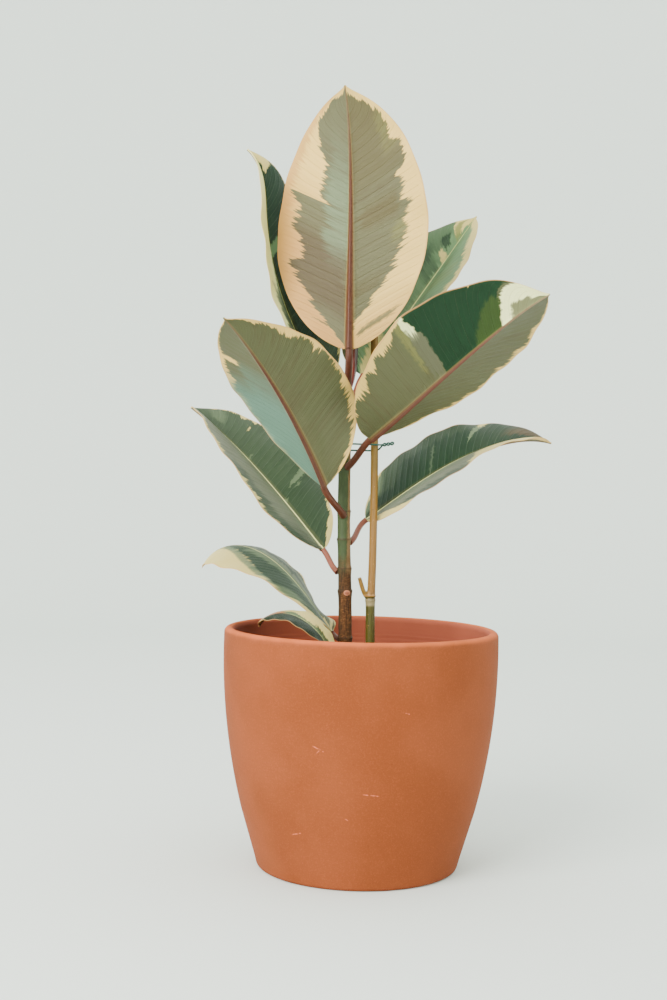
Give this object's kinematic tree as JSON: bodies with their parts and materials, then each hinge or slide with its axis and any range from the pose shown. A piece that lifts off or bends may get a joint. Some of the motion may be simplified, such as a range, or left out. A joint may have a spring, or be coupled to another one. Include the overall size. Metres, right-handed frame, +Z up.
{
  "type": "potted rubber plant",
  "caption": "Variegated rubber plant with one upright stem, broad cream-edged leaves and a tied bamboo cane, growing in a round terracotta pot.",
  "frame": {"origin": "on the pot's axis, at the centre of its flat underside", "axes": "+Z up along the pot's axis; -Y towards the viewer of the front; +X to the viewer's right"},
  "size_m": [0.2946, 0.255, 0.5909],
  "materials": {
    "terracotta": "unglazed fired clay, matte, fine grain, faint scuffs",
    "soil": "dark crumbly potting soil",
    "stem_bark": "green young stem, brown corky bark lower down",
    "leaf_blade": "waxy green and grey-green with cream margins, red-brown midrib underneath",
    "bud_red": "smooth glossy red sheath",
    "bamboo": "smooth golden cane, green below its node",
    "green_wire": "green plastic-coated wire"
  },
  "bodies": {
    "root": {"pot": "terracotta", "soil": "soil", "stem": "stem_bark", "bud_sheath": "bud_red", "bamboo_stake": "bamboo", "twist_tie": "green_wire", "leaf_1": "leaf_blade", "leaf_2": "leaf_blade", "leaf_3": "leaf_blade", "leaf_4": "leaf_blade", "leaf_5": "leaf_blade", "leaf_6": "leaf_blade", "leaf_7": "leaf_blade", "leaf_8": "leaf_blade", "leaf_9": "leaf_blade"}
  },
  "joints": []
}
